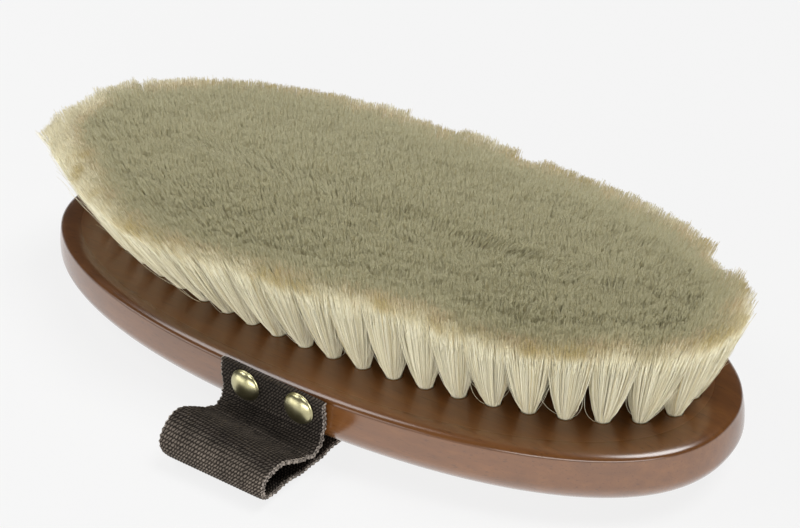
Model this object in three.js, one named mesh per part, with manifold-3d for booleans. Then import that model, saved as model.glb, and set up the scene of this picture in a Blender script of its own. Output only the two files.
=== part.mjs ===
// Oval wooden body brush with tufts of goat hair and a webbing hand strap, lying on its back.
// Units are millimetres. +X runs along the brush, -Y is the side where the strap's slack lies,
// and +Z is up, towards the hair tips. The origin is on the flat underside of the strap,
// beneath the middle of the board.

import * as THREE from "three";
import { mergeVertices } from "three/addons/utils/BufferGeometryUtils.js";
import Module from "manifold-3d";

const wasm = await Module();
wasm.setup();

// Clearance kept between pieces that touch on the real brush
const GAP = 0.3;

// Webbing strap
const STRAP_THICKNESS = 1.5;
const STRAP_WIDTH = 32;
const STRAP_CENTRE_X = 4.5;
const STRAP_PATH_STEPS = 84;

// Wooden board
const BOARD_HALF_LENGTH = 102;
const BOARD_HALF_WIDTH = 46;
const BOARD_SQUARENESS = 2.2;
const BOARD_UNDERSIDE_Z = STRAP_THICKNESS + GAP;
const BOARD_THICKNESS = 18.4;
const BOARD_FACE_Z = BOARD_UNDERSIDE_Z + BOARD_THICKNESS;
const BOARD_OUTLINE_POINTS = 64;

// Shoulder between the bristle face and the arris at the top of the side wall
const SHOULDER_DROP = 1.6;
const SHOULDER_WIDTH_AT_ENDS = 7.2;
const SHOULDER_WIDTH_AT_SIDES = 4;
const SHOULDER_STEPS = 3;
const ARRIS_Z = BOARD_FACE_Z - SHOULDER_DROP;

// Side wall, which swells to its widest line and then rounds over to the flat back
const WALL_SWELL_AT_ENDS = 1;
const WALL_SWELL_AT_SIDES = 0.5;
const WALL_WIDEST_Z = 11.6;
const WALL_STEPS = 2;
const ROUND_OVER_WIDTH = 14.5;
const ROUND_OVER_POWER = 1.18;
const ROUND_OVER_STEPS = 6;

// Tufts: concentric oval rings of drilled holes, and one row along the middle
const OUTER_RING = { halfLength: 91, halfWidth: 30.6, count: 47 };
const INNER_RINGS = [
  { name: "second_tuft_ring", count: 42, phase: 0.5 },
  { name: "third_tuft_ring", count: 37, phase: 0.5 },
  { name: "inner_tuft_ring", count: 32, phase: 0 },
];
const RING_STEP = 7.65;
const CENTRE_ROW = { count: 10, pitch: 8.3 };
const HOLE_RADIUS = 2.85;
const HOLE_DEPTH = 8;
const HOLE_SIDES = 6;
const STEM_RADIUS = 2.1;

// Hair tips: the tufts flare until they meet in one flat-trimmed face
const HAIR_LENGTH = 26.7;
const HAIR_TOP_Z = BOARD_FACE_Z + HAIR_LENGTH;
const TIP_HALF_LENGTH = 102;
const TIP_HALF_WIDTH = 43.5;
const TIP_RING_STEP = 9.6;
const TIP_SHRINK = 0.935;
const TIP_GAP = 0.25;
const TIP_BAND_POINTS = 44;
const MERGED_TIP_DEPTH = 6;
const MERGED_TUFT_Z = HAIR_TOP_Z - MERGED_TIP_DEPTH / 2;
const MERGED_TUFT_RADIUS = 3.3;
const TUFT_SIDES = 6;

// Domed brass nails, two through each end of the strap
const NAIL_HEAD_RADIUS = 4.3;
const NAIL_HEAD_RIM = 0.4;
const NAIL_DOME_HEIGHT = 2.3;
const NAIL_SHANK_RADIUS = 0.8;
const NAIL_SHANK_LENGTH = 12;
const NAIL_POINT_LENGTH = 1.8;
const NAIL_SPACING = 16.6;
const NAIL_CENTRE_X = 5.7;
const NAIL_Z = 16.2;
const NAIL_HOLE_RADIUS = NAIL_SHANK_RADIUS + 0.4;

// The strap's ends lie against the side walls at this distance from the middle of the brush
const FLAP_Y = BOARD_HALF_WIDTH + WALL_SWELL_AT_SIDES + GAP + STRAP_THICKNESS / 2;
const FLAP_TOP_Z = BOARD_FACE_Z + 0.4;

const WOOD = { color: 0x6b3a1c, roughness: 0.3, metalness: 0 };
const HAIR = { color: 0xb9b496, roughness: 0.8, metalness: 0 };
const WEBBING = { color: 0x3a322b, roughness: 0.9, metalness: 0 };
const BRASS = { color: 0xb9b070, roughness: 0.3, metalness: 1 };

// A point of the oval outline with the given half length and half width
function ovalPoint(halfLength, halfWidth, angle) {
  const power = 2 / BOARD_SQUARENESS;
  const c = Math.cos(angle);
  const s = Math.sin(angle);
  return new THREE.Vector2(
    halfLength * Math.sign(c) * Math.abs(c) ** power,
    halfWidth * Math.sign(s) * Math.abs(s) ** power,
  );
}

// A closed body from a stack of outlines, lowest first, all with the same number of points
function loft(outlines) {
  const count = outlines[0].length;
  const vertices = outlines.flat().flatMap((point) => [point.x, point.y, point.z]);
  const faces = [];
  for (let level = 0; level + 1 < outlines.length; level++) {
    for (let i = 0; i < count; i++) {
      const a = level * count + i;
      const b = level * count + ((i + 1) % count);
      faces.push(a, b, b + count, a, b + count, a + count);
    }
  }
  const addCap = (level, flipped) => {
    const flat = outlines[level].map((point) => new THREE.Vector2(point.x, point.y));
    for (const [a, b, c] of THREE.ShapeUtils.triangulateShape(flat, [])) {
      const corners = flipped ? [a, c, b] : [a, b, c];
      faces.push(...corners.map((corner) => level * count + corner));
    }
  };
  addCap(0, true);
  addCap(outlines.length - 1, false);
  const geometry = new THREE.BufferGeometry();
  geometry.setAttribute("position", new THREE.Float32BufferAttribute(vertices, 3));
  geometry.setIndex(faces);
  return geometry;
}

// A solid for boolean work, from a closed geometry
function toSolid(geometry) {
  const bare = geometry.clone();
  bare.deleteAttribute("normal");
  bare.deleteAttribute("uv");
  const merged = mergeVertices(bare, 1e-4);
  return new wasm.Manifold(new wasm.Mesh({
    numProp: 3,
    vertProperties: merged.attributes.position.array,
    triVerts: new Uint32Array(merged.index.array),
  }));
}

// A geometry from a finished solid
function toGeometry(solid) {
  const mesh = solid.getMesh();
  const geometry = new THREE.BufferGeometry();
  geometry.setAttribute("position", new THREE.BufferAttribute(mesh.vertProperties, 3));
  geometry.setIndex(new THREE.BufferAttribute(mesh.triVerts, 1));
  return geometry;
}

function namedMesh(name, geometry, look) {
  const mesh = new THREE.Mesh(geometry, new THREE.MeshStandardMaterial(look));
  mesh.name = name;
  return mesh;
}

// How the board's section runs: height, and how far the outline is drawn in at ends and sides
function boardSections() {
  const sections = [];
  for (let i = ROUND_OVER_STEPS; i > 0; i--) {
    const turn = (i / ROUND_OVER_STEPS) * (Math.PI / 2);
    const inward = ROUND_OVER_WIDTH * (1 - Math.cos(turn) ** ROUND_OVER_POWER);
    const z = WALL_WIDEST_Z - (WALL_WIDEST_Z - BOARD_UNDERSIDE_Z) * Math.sin(turn) ** ROUND_OVER_POWER;
    sections.push({ z, atEnds: inward - WALL_SWELL_AT_ENDS, atSides: inward - WALL_SWELL_AT_SIDES });
  }
  for (let i = 0; i <= WALL_STEPS; i++) {
    const rise = i / WALL_STEPS;
    const swell = 1 - rise ** 2;
    const z = WALL_WIDEST_Z + (ARRIS_Z - WALL_WIDEST_Z) * rise;
    sections.push({ z, atEnds: -WALL_SWELL_AT_ENDS * swell, atSides: -WALL_SWELL_AT_SIDES * swell });
  }
  for (let i = 1; i <= SHOULDER_STEPS; i++) {
    const inward = i / SHOULDER_STEPS;
    const z = BOARD_FACE_Z - SHOULDER_DROP * (0.35 * (1 - inward) + 0.65 * (1 - inward) ** 2);
    sections.push({ z, atEnds: SHOULDER_WIDTH_AT_ENDS * inward, atSides: SHOULDER_WIDTH_AT_SIDES * inward });
  }
  return sections;
}

function boardBlank() {
  const outlines = boardSections().map(({ z, atEnds, atSides }) => {
    const outline = [];
    for (let i = 0; i < BOARD_OUTLINE_POINTS; i++) {
      const angle = (i / BOARD_OUTLINE_POINTS) * 2 * Math.PI;
      const point = ovalPoint(BOARD_HALF_LENGTH - atEnds, BOARD_HALF_WIDTH - atSides, angle);
      outline.push(new THREE.Vector3(point.x, point.y, z));
    }
    return outline;
  });
  return toSolid(loft(outlines));
}

// The oval through the hole centres of a ring; ring 0 is the outermost
function rootCurve(ring) {
  const halfLength = OUTER_RING.halfLength - RING_STEP * ring;
  const halfWidth = OUTER_RING.halfWidth - RING_STEP * ring;
  return new THREE.EllipseCurve(0, 0, halfLength, halfWidth, 0, 2 * Math.PI);
}

// The oval at height z between the hair of ring - 1 and the hair of ring, drawn in by a margin
function divisionCurve(ring, z, margin = 0) {
  const reach = (z - BOARD_FACE_Z) / HAIR_LENGTH;
  const between = (root, rootStep, tip, tipStep) => (
    THREE.MathUtils.lerp(root + rootStep * (0.5 - ring), tip - tipStep * ring, reach) - margin
  );
  const halfLength = between(OUTER_RING.halfLength, RING_STEP, TIP_HALF_LENGTH, TIP_RING_STEP);
  const halfWidth = between(OUTER_RING.halfWidth, RING_STEP, TIP_HALF_WIDTH, TIP_RING_STEP);
  return new THREE.EllipseCurve(0, 0, halfLength, halfWidth, 0, 2 * Math.PI);
}

// Points spaced evenly round a closed curve; phase 0.5 starts them half a space along
function ringPoints(curve, count, phase) {
  return Array.from({ length: count }, (_, i) => curve.getPointAt((i + phase) / count));
}

// Where a ring's tufts stand on the bristle face
function ringRoots(ring, count, phase) {
  return ringPoints(rootCurve(ring), count, phase);
}

// The middle row's tufts
function rowRoots() {
  const first = (-CENTRE_ROW.pitch * (CENTRE_ROW.count - 1)) / 2;
  const rootAt = (i) => new THREE.Vector2(first + CENTRE_ROW.pitch * i, 0);
  return Array.from({ length: CENTRE_ROW.count }, (_, i) => rootAt(i));
}

// The patch of the trimmed face that one outer tuft fills, as corners and edge middles
function tipCell(index, count) {
  const outer = divisionCurve(0, HAIR_TOP_Z);
  const inner = divisionCurve(1, HAIR_TOP_Z);
  const steps = [0, 0.5, 1].map((step) => (index + step) / count);
  const outerEdge = steps.map((at) => outer.getPointAt(at));
  const innerEdge = steps.map((at) => inner.getPointAt(at)).reverse();
  const closing = innerEdge[2].clone().lerp(outerEdge[0], 0.5);
  const turning = outerEdge[2].clone().lerp(innerEdge[0], 0.5);
  return [...outerEdge, turning, ...innerEdge, closing];
}

// The round patch that an inner tuft flares to before its hair merges with its neighbours
function roundCell(centre) {
  const rim = new THREE.EllipseCurve(centre.x, centre.y, MERGED_TUFT_RADIUS, MERGED_TUFT_RADIUS);
  return rim.getPoints(TUFT_SIDES).slice(0, -1);
}

// One tuft: a round stem in its hole, flaring above the face to fill its cell at topZ
function tuft(root, cell, topZ) {
  const centre = cell.reduce((sum, point) => sum.add(point), new THREE.Vector2()).divideScalar(cell.length);
  const outward = cell.map((point) => point.clone().sub(centre));
  const stem = outward.map((arm) => arm.clone().setLength(STEM_RADIUS).add(root));
  const top = outward.map((arm) => arm.clone().multiplyScalar(TIP_SHRINK).add(centre));
  const raise = (outline, z) => outline.map((point) => new THREE.Vector3(point.x, point.y, z));
  return loft([
    raise(stem, BOARD_FACE_Z - HOLE_DEPTH + GAP),
    raise(stem, BOARD_FACE_Z),
    raise(top, topZ),
  ]);
}

function outerTufts() {
  const { count } = OUTER_RING;
  return ringRoots(0, count, 0.5).map((root, i) => {
    const name = `outer_tuft_${String(i + 1).padStart(2, "0")}`;
    return namedMesh(name, tuft(root, tipCell(i, count), HAIR_TOP_Z), HAIR);
  });
}

// All the merged hair inside a division oval, running past the band by an overrun
function hairWithin(ring, margin, overrun = 0) {
  const heights = [HAIR_TOP_Z - MERGED_TIP_DEPTH - overrun, HAIR_TOP_Z + overrun];
  return toSolid(loft(heights.map((z) => {
    const outline = divisionCurve(ring, z, margin).getSpacedPoints(TIP_BAND_POINTS).slice(0, -1);
    return outline.map((point) => new THREE.Vector3(point.x, point.y, z));
  })));
}

// Inner tufts whose tips have run together into one band of hair
function mergedTufts(roots, centres, band) {
  const tufts = roots.map((root, i) => toSolid(tuft(root, roundCell(centres[i]), MERGED_TUFT_Z)));
  return toGeometry(tufts.reduce((sum, solid) => sum.add(solid), band));
}

function innerTuftRings() {
  return INNER_RINGS.map(({ name, count, phase }, i) => {
    const ring = i + 1;
    const centres = ringPoints(divisionCurve(ring + 0.5, MERGED_TUFT_Z), count, phase);
    const band = hairWithin(ring, TIP_GAP).subtract(hairWithin(ring + 1, -TIP_GAP, 1));
    return namedMesh(name, mergedTufts(ringRoots(ring, count, phase), centres, band), HAIR);
  });
}

function centreTuftRow() {
  const spread = TIP_HALF_LENGTH / OUTER_RING.halfLength;
  const centres = rowRoots().map((root) => new THREE.Vector2(root.x * spread, 0));
  const band = hairWithin(INNER_RINGS.length + 1, TIP_GAP);
  return namedMesh("centre_tuft_row", mergedTufts(rowRoots(), centres, band), HAIR);
}

function nailPositions() {
  const positions = [];
  for (const [side, sign] of [["near", -1], ["far", 1]]) {
    for (const [end, step] of [["left", -0.5], ["right", 0.5]]) {
      positions.push({ name: `${side}_nail_${end}`, sign, x: NAIL_CENTRE_X + NAIL_SPACING * step });
    }
  }
  return positions;
}

// The holes that the nails' shanks run through, from outside the strap to beyond their points
function nailHole({ sign, x }) {
  const inside = FLAP_Y + STRAP_THICKNESS / 2 + GAP - NAIL_SHANK_LENGTH - GAP;
  const outside = FLAP_Y + STRAP_THICKNESS;
  const hole = new THREE.CylinderGeometry(NAIL_HOLE_RADIUS, NAIL_HOLE_RADIUS, outside - inside, 8);
  hole.translate(x, (sign * (outside + inside)) / 2, NAIL_Z);
  return toSolid(hole);
}

function tuftHole(root) {
  const above = 1;
  const hole = new THREE.CylinderGeometry(HOLE_RADIUS, HOLE_RADIUS, HOLE_DEPTH + above, HOLE_SIDES);
  hole.rotateX(Math.PI / 2);
  hole.translate(root.x, root.y, BOARD_FACE_Z + (above - HOLE_DEPTH) / 2);
  return toSolid(hole);
}

// The wooden back, drilled with a blind hole for every tuft and pilot holes for the nails
function brushBoard() {
  const roots = [
    ...ringRoots(0, OUTER_RING.count, 0.5),
    ...INNER_RINGS.flatMap(({ count, phase }, i) => ringRoots(i + 1, count, phase)),
    ...rowRoots(),
  ];
  const holes = [...roots.map(tuftHole), ...nailPositions().map(nailHole)];
  const drilled = holes.reduce((solid, hole) => solid.subtract(hole), boardBlank());
  return namedMesh("brush_board", toGeometry(drilled), WOOD);
}

// The strap's centre line seen from its selvedge, as x = across the brush and y = height:
// down the far wall, round under the back, flat to the near side, then out into a loose roll
// and back to the near wall
function strapCentreLine() {
  const flat = STRAP_THICKNESS / 2;
  const path = new THREE.Path();
  path.moveTo(FLAP_Y, FLAP_TOP_Z);
  path.lineTo(FLAP_Y, 13);
  path.bezierCurveTo(FLAP_Y, 5, 43, flat, 32, flat);
  path.lineTo(-60.8, flat);
  path.bezierCurveTo(-65.8, flat, -69, 4, -68, 7.6);
  path.bezierCurveTo(-67.1, 10.9, -64.4, 11.9, -61.6, 11.5);
  path.bezierCurveTo(-57.6, 10.9, -54.7, 7.1, -51.4, 6.8);
  path.bezierCurveTo(-49.2, 6.6, -FLAP_Y, 8.4, -FLAP_Y, 11);
  path.lineTo(-FLAP_Y, FLAP_TOP_Z);
  return path;
}

function strapSection() {
  const path = strapCentreLine();
  const onSide = (side) => Array.from({ length: STRAP_PATH_STEPS + 1 }, (_, i) => {
    const along = i / STRAP_PATH_STEPS;
    const tangent = path.getTangentAt(along);
    const offset = (side * STRAP_THICKNESS) / 2;
    return path.getPointAt(along).add(new THREE.Vector2(tangent.y * offset, -tangent.x * offset));
  });
  return new THREE.Shape([...onSide(1), ...onSide(-1).reverse()]);
}

function handStrap() {
  const band = new THREE.ExtrudeGeometry(strapSection(), { depth: STRAP_WIDTH, bevelEnabled: false });
  band.translate(0, 0, STRAP_CENTRE_X - STRAP_WIDTH / 2);
  // The section is drawn in X and Y and drawn out along Z; turn those into Y, Z and X
  band.applyMatrix4(new THREE.Matrix4().set(0, 0, 1, 0, 1, 0, 0, 0, 0, 1, 0, 0, 0, 0, 0, 1));
  const holes = nailPositions().map(nailHole);
  const pierced = holes.reduce((solid, hole) => solid.subtract(hole), toSolid(band));
  return namedMesh("hand_strap", toGeometry(pierced), WEBBING);
}

function nail({ name, sign, x }) {
  const profile = [
    new THREE.Vector2(0, -NAIL_SHANK_LENGTH),
    new THREE.Vector2(NAIL_SHANK_RADIUS, -NAIL_SHANK_LENGTH + NAIL_POINT_LENGTH),
    new THREE.Vector2(NAIL_SHANK_RADIUS, 0),
    new THREE.Vector2(NAIL_HEAD_RADIUS, 0),
  ];
  const dome = new THREE.EllipseCurve(0, NAIL_HEAD_RIM, NAIL_HEAD_RADIUS, NAIL_DOME_HEIGHT, 0, Math.PI / 2);
  profile.push(...dome.getPoints(4));
  profile[profile.length - 1].x = 0;
  const mesh = namedMesh(name, new THREE.LatheGeometry(profile, 14), BRASS);
  mesh.position.set(x, sign * (FLAP_Y + STRAP_THICKNESS / 2 + GAP), NAIL_Z);
  mesh.rotation.x = sign < 0 ? Math.PI : 0;
  return mesh;
}

const brush = new THREE.Group();
brush.add(
  brushBoard(),
  ...outerTufts(),
  ...innerTuftRings(),
  centreTuftRow(),
  handStrap(),
  ...nailPositions().map(nail),
);

export default brush;
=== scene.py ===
# Oval body brush: varnished wooden board, goat-hair tufts trimmed flat, and a webbing hand
# strap held by domed brass nails. It lies on its back, with the strap's slack lying out as a
# roll on the -Y side. Metres, in the frame of the CAD model.
import math

import bpy
import numpy as np
from mathutils import Matrix, Vector
from mathutils.geometry import delaunay_2d_cdt


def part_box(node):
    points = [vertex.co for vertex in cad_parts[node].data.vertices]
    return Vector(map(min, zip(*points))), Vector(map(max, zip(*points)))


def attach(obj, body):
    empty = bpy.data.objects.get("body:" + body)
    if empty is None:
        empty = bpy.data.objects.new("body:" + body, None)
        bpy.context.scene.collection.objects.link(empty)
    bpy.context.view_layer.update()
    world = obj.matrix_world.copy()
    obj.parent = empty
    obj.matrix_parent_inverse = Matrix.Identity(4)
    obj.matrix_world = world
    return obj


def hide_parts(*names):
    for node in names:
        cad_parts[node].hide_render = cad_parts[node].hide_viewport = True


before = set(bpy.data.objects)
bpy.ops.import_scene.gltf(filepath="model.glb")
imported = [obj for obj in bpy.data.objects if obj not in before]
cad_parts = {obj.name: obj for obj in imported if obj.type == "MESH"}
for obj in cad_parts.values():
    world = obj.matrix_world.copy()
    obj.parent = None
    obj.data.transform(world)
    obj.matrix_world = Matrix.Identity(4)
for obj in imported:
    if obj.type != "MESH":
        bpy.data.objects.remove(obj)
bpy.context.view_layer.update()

MM = 0.001
TURN = 2 * math.pi

BOARD_LOW, BOARD_HIGH = (np.array(corner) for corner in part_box("brush_board"))
STRAP_LOW, STRAP_HIGH = (np.array(corner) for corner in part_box("hand_strap"))
HAIR_TOP_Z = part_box("centre_tuft_row")[1].z

# Board: the CAD board's outline, with the same swell in the side wall
WALL_SWELL_AT_ENDS = 1 * MM
WALL_SWELL_AT_SIDES = 0.5 * MM
BOARD_HALF_LENGTH = BOARD_HIGH[0] - WALL_SWELL_AT_ENDS
BOARD_HALF_WIDTH = BOARD_HIGH[1] - WALL_SWELL_AT_SIDES
BOARD_SQUARENESS = 2.2
BOARD_FACE_Z = BOARD_HIGH[2]
BOARD_UNDERSIDE_Z = BOARD_LOW[2]
WALL_WIDEST_Z = 11.6 * MM
ROUND_OVER_WIDTH = 14.5 * MM
ROUND_OVER_POWER = 1.18
SHOULDER_DROP = 1.9 * MM
SHOULDER_WIDTH_AT_ENDS = 7.2 * MM
SHOULDER_WIDTH_AT_SIDES = 3.6 * MM
ROUND_OVER_STEPS = 21
WALL_STEPS = 7
SHOULDER_STEPS = 13
OUTLINE_POINTS = 320
HOLE_RADIUS = 2.0 * MM
HOLE_BEVEL = 0.15 * MM
HOLE_DEPTH = 4 * MM
HOLE_POINTS = 24
# The bead of varnish that stands round the mouth of each hole
BEAD_WIDTH = 0.45 * MM
BEAD_CREST = 0.4
BEAD_HEIGHT = 0.14 * MM
# The board's material slots, in the order that they are added
WALL_SLOT, SHOULDER_SLOT, FACE_SLOT, HOLE_SLOT = range(4)

# Tufts, ring by ring from the outside in, as the CAD model has them
OUTER_RING_HALF_LENGTH = 91 * MM
OUTER_RING_HALF_WIDTH = 30.6 * MM
RING_STEP = 7.65 * MM
OUTER_TUFTS = sorted(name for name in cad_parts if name.startswith("outer_tuft_"))
INNER_NODES = ["second_tuft_ring", "third_tuft_ring", "inner_tuft_ring", "centre_tuft_row"]
TIP_HALF_LENGTH = 102 * MM
TIP_HALF_WIDTH = 43.5 * MM
TIP_RING_STEP = 9.6 * MM
TIP_SQUARENESS = 2.35
STEM_RADIUS = 2.3 * MM
GOLDEN_ANGLE = math.pi * (3 - math.sqrt(5))


# ---- meshes

def add_object(name, mesh, smooth=True):
    """Link a mesh as a piece that rides on the brush's one body."""
    mesh.polygons.foreach_set("use_smooth", [smooth] * len(mesh.polygons))
    piece = bpy.data.objects.new(name, mesh)
    bpy.context.scene.collection.objects.link(piece)
    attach(piece, "root")
    return piece


def fast_mesh(name, points, corners, sizes):
    """A mesh from flat arrays: points, the corners of every face in turn, and face sizes."""
    mesh = bpy.data.meshes.new(name)
    mesh.vertices.add(len(points))
    mesh.vertices.foreach_set("co", np.asarray(points, np.float32).ravel())
    mesh.loops.add(len(corners))
    mesh.loops.foreach_set("vertex_index", np.asarray(corners, np.int32))
    mesh.polygons.add(len(sizes))
    starts = np.concatenate([[0], np.cumsum(sizes)[:-1]])
    mesh.polygons.foreach_set("loop_start", starts.astype(np.int32))
    mesh.polygons.foreach_set("loop_total", np.asarray(sizes, np.int32))
    mesh.update(calc_edges=True)
    return mesh


def set_uv(mesh, name, across, along):
    """Give every corner of a mesh its place on a new UV map."""
    layer = mesh.uv_layers.new(name=name)
    layer.data.foreach_set("uv", np.stack([across, along], axis=1).astype(np.float32).ravel())


def ring_faces(first, second, count):
    """Quads between two closed loops of vertices, given each loop's first index."""
    here = np.arange(count)
    after = (here + 1) % count
    return np.stack([first + here, first + after, second + after, second + here], axis=1)


def oval(half_length, half_width, squareness, angles):
    """Points on a superellipse."""
    c, s = np.cos(angles), np.sin(angles)
    power = 2 / squareness
    x = half_length * np.sign(c) * np.abs(c) ** power
    y = half_width * np.sign(s) * np.abs(s) ** power
    return np.stack([x, y], axis=1)


def stem_feet(node):
    """Where a CAD node's tufts stand: the middles of its lowest faces."""
    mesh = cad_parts[node].data
    points = np.empty(len(mesh.vertices) * 3, np.float32)
    mesh.vertices.foreach_get("co", points)
    points = points.reshape(-1, 3)
    low = points[points[:, 2] < points[:, 2].min() + 0.1 * MM, :2]
    low = np.unique(np.round(low, 6), axis=0)
    feet = []
    while len(low):
        near = np.linalg.norm(low - low[0], axis=1) < 2.2 * STEM_RADIUS
        feet.append(low[near].mean(axis=0))
        low = low[~near]
    return np.array(feet)


# ---- shader nodes

class Nodes:
    """A short way to write a material's node tree."""

    def __init__(self, name):
        self.material = bpy.data.materials.new(name)
        self.material.use_nodes = True
        self.tree = self.material.node_tree
        self.shader = self.tree.nodes["Principled BSDF"]

    def add(self, kind, settings=None, **inputs):
        node = self.tree.nodes.new("ShaderNode" + kind)
        for key, value in (settings or {}).items():
            setattr(node, key, value)
        for key, value in inputs.items():
            self.plug(node.inputs[key.replace("_", " ")], value)
        return node

    def plug(self, socket, value):
        if isinstance(value, bpy.types.NodeSocket):
            self.tree.links.new(value, socket)
        else:
            socket.default_value = value

    def set(self, **inputs):
        for key, value in inputs.items():
            self.plug(self.shader.inputs[key.replace("_", " ")], value)

    def math(self, operation, *values):
        node = self.add("Math", {"operation": operation})
        for socket, value in zip(node.inputs, values):
            self.plug(socket, value)
        return node.outputs[0]

    def mix(self, factor, first, second, blend="MIX"):
        node = self.add("Mix", {"data_type": "RGBA", "blend_type": blend})
        self.plug(node.inputs[0], factor)
        self.plug(node.inputs[6], first)
        self.plug(node.inputs[7], second)
        return node.outputs[2]

    def ramp(self, factor, stops):
        node = self.add("ValToRGB")
        elements = node.color_ramp.elements
        while len(elements) < len(stops):
            elements.new(0.5)
        for element, (position, colour) in zip(elements, stops):
            element.position = position
            element.color = colour if len(colour) == 4 else (*colour, 1)
        self.plug(node.inputs[0], factor)
        return node.outputs[0]

    def noise(self, vector, scale, detail=4.0, roughness=0.55):
        node = self.add("TexNoise", Scale=scale, Detail=detail, Roughness=roughness)
        self.plug(node.inputs["Vector"], vector)
        return node.outputs[0]

    def stretched(self, scale):
        """The piece's own coordinates in metres, stretched by a factor along each axis."""
        place = self.add("TexCoord").outputs["Object"]
        mapping = self.add("Mapping", Scale=scale)
        self.plug(mapping.inputs["Vector"], place)
        return mapping.outputs[0]

    def coordinate(self, axis):
        """The piece's own X, Y or Z in metres."""
        place = self.add("TexCoord").outputs["Object"]
        return self.add("SeparateXYZ", Vector=place).outputs[axis]

    def uv(self, name):
        """The two coordinates of a UV map."""
        place = self.add("UVMap", {"uv_map": name}).outputs[0]
        return self.add("SeparateXYZ", Vector=place).outputs[:2]

    def between(self, value, start, end):
        """A smooth step from 0 at one value to 1 at another."""
        step = self.add("MapRange", {"interpolation_type": "SMOOTHSTEP"}, From_Min=start, From_Max=end)
        self.plug(step.inputs[0], value)
        return step.outputs[0]

    def bump(self, height, strength, distance, normal=None):
        node = self.add("Bump", Height=height, Strength=strength, Distance=distance)
        if normal is not None:
            self.plug(node.inputs["Normal"], normal)
        return node.outputs[0]


# Where the honey patches start, past the end where the tufts splay, and where along -Y the
# front of the webbing's roll is painted paler as painted light
PALE_END_X = (-86 * MM, -76 * MM)
LIT_FRONT_Y = (-64 * MM, -69 * MM)


def grey(value):
    return (value, value, value, 1)


def wood_material(name, painted_lightness, coat_roughness, coat_ior):
    """Reddish-brown stained wood under a clear varnish of the given gloss, scaled lighter for painted
    light and darker for painted shade.
    """
    n = Nodes(name)
    grain = n.noise(n.stretched((28, 420, 420)), 1.0, 6.0, 0.6)
    figure = n.noise(n.stretched((9, 60, 60)), 1.0, 3.0, 0.5)
    pores = n.noise(n.stretched((160, 2600, 2600)), 1.0, 2.0, 0.5)
    stain = n.ramp(grain, [
        (0.30, (0.096, 0.035, 0.0080)),
        (0.50, (0.112, 0.041, 0.0095)),
        (0.72, (0.135, 0.051, 0.0120)),
    ])
    # Painted light and shade: this factor scales the wood's colour up or down for each copy of the wood
    warm = n.ramp(figure, [(0.3, grey(0.82 * painted_lightness)), (0.7, grey(1.12 * painted_lightness))])
    colour = n.mix(1.0, stain, warm, "MULTIPLY")
    dots = n.ramp(pores, [(0.60, grey(1)), (0.72, grey(0.66))])
    n.set(Base_Color=n.mix(1.0, colour, dots, "MULTIPLY"))
    n.set(Roughness=0.4, Specular_IOR_Level=0.1)
    n.set(Coat_Weight=1.0, Coat_Roughness=coat_roughness, Coat_IOR=coat_ior)
    ripple = n.noise(n.stretched((60, 90, 90)), 1.0, 2.0, 0.5)
    orange_peel = n.noise(n.stretched((1500, 1500, 1500)), 1.0, 2.0, 0.5)
    n.set(Normal=n.bump(grain, 0.12, 0.1 * MM))
    n.set(Coat_Normal=n.bump(orange_peel, 0.3, 0.02 * MM, n.bump(ripple, 0.12, 0.25 * MM)))
    return n.material


def hole_shade_material():
    """The inside of a drilled hole, painted near-black as painted shade."""
    n = Nodes("drilled_hole_painted_shade")
    shade = n.noise(n.stretched((900, 900, 900)), 1.0, 3.0)
    # Painted shade: the hole's walls and floor are painted far darker than the wood around them
    dark = n.ramp(shade, [(0.35, (0.02, 0.009, 0.004)), (0.7, (0.05, 0.022, 0.009))])
    n.set(Base_Color=dark, Roughness=0.8)
    return n.material


def hair_lengthways(n, along):
    """The colours along an inner strand, one near the rim, and one on a cone's pale side, each painted
    darker at the root as painted shade.
    """
    # Painted shade: each ramp starts darker at the root end, at the foot of the crowded tufts
    inner = n.ramp(along, [
        (0.00, (0.62, 0.56, 0.40)),
        (0.35, (0.74, 0.69, 0.50)),
        (0.82, (0.62, 0.57, 0.39)),
        (0.92, (0.48, 0.45, 0.29)),
        (1.00, (0.415, 0.39, 0.25)),
    ])
    rim = n.ramp(along, [
        (0.00, (0.66, 0.60, 0.43)),
        (0.20, (0.84, 0.78, 0.60)),
        (0.80, (0.84, 0.78, 0.57)),
        (0.91, (0.61, 0.51, 0.32)),
        (1.00, (0.48, 0.40, 0.25)),
    ])
    side = n.ramp(along, [
        (0.00, (0.68, 0.62, 0.45)),
        (0.16, (0.89, 0.84, 0.64)),
        (0.87, (0.91, 0.87, 0.68)),
        (0.95, (0.78, 0.73, 0.54)),
        (1.00, (0.57, 0.52, 0.355)),
    ])
    return inner, rim, side


def honey_patches(n, side, along):
    """Tint the pale strands' tips honey in patches, but not round the -X end."""
    honey = n.ramp(along, [(0.88, (1, 1, 1)), (0.96, (0.70, 0.62, 0.42))])
    patches = n.noise(n.stretched((85, 85, 20)), 1.0, 3.0)
    in_patch = n.ramp(patches, [(0.46, grey(0)), (0.60, grey(1))])
    past_end = n.between(n.coordinate(0), *PALE_END_X)
    in_patch = n.math("MULTIPLY", in_patch, past_end)
    return n.mix(in_patch, side, n.mix(1.0, side, honey, "MULTIPLY"))


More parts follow.
